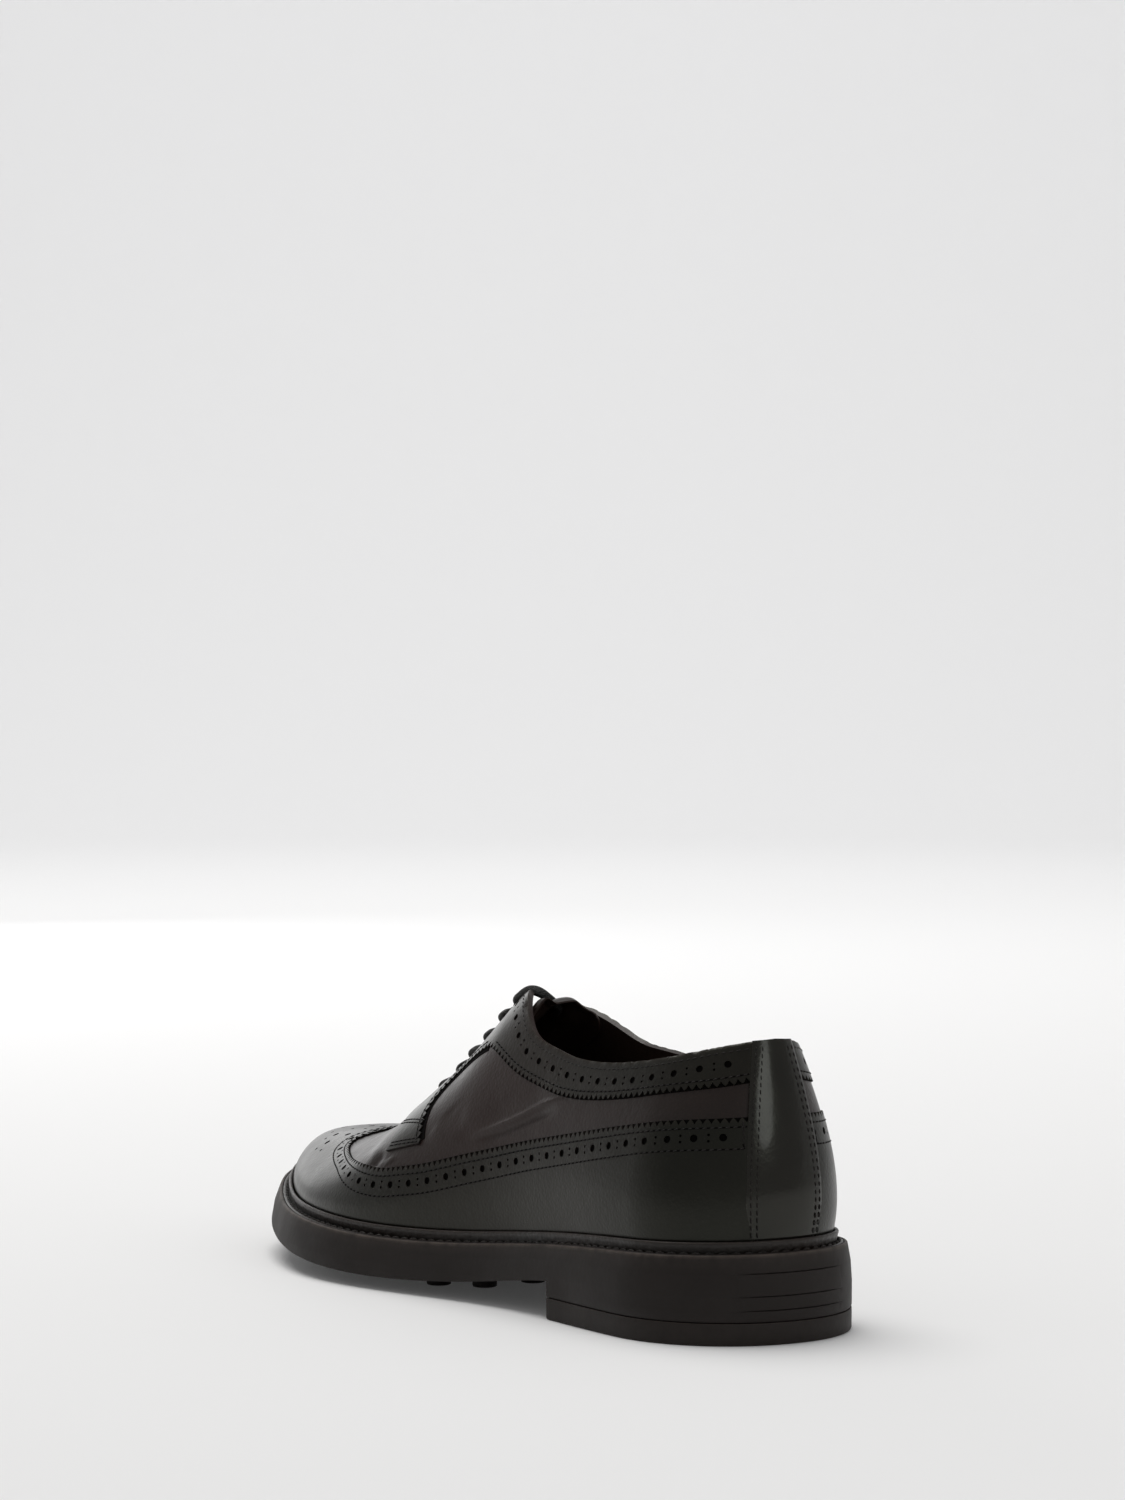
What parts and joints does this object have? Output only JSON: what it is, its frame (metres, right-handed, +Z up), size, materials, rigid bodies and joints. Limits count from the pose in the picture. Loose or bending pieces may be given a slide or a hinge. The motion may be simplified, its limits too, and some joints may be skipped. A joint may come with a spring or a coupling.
{
  "type": "brogue shoe",
  "caption": "Dark leather longwing derby brogue, left foot, laced, with a raised welt and a thick rubber sole with a block heel.",
  "frame": {"origin": "middle of the sole's plan, on the ground", "axes": "+X from heel to toe, +Y to the outer side of the left foot, +Z up"},
  "size_m": [0.3069, 0.1098, 0.1041],
  "materials": {
    "upper_leather": "polished, burnished near black with dark red brown",
    "lining_leather": "matt",
    "welt_leather": "satin",
    "sole_rubber": "matt",
    "lace_cord": "waxed"
  },
  "bodies": {
    "root": {"upper": "upper_leather", "tongue": "upper_leather", "insole": "lining_leather", "welt": "welt_leather", "outsole": "sole_rubber", "top_lift": "sole_rubber", "lace_bar_1": "lace_cord", "lace_bar_2": "lace_cord", "lace_bar_3": "lace_cord", "lace_bar_4": "lace_cord", "lace_bar_5": "lace_cord", "lace_bar_6": "lace_cord"}
  },
  "joints": []
}
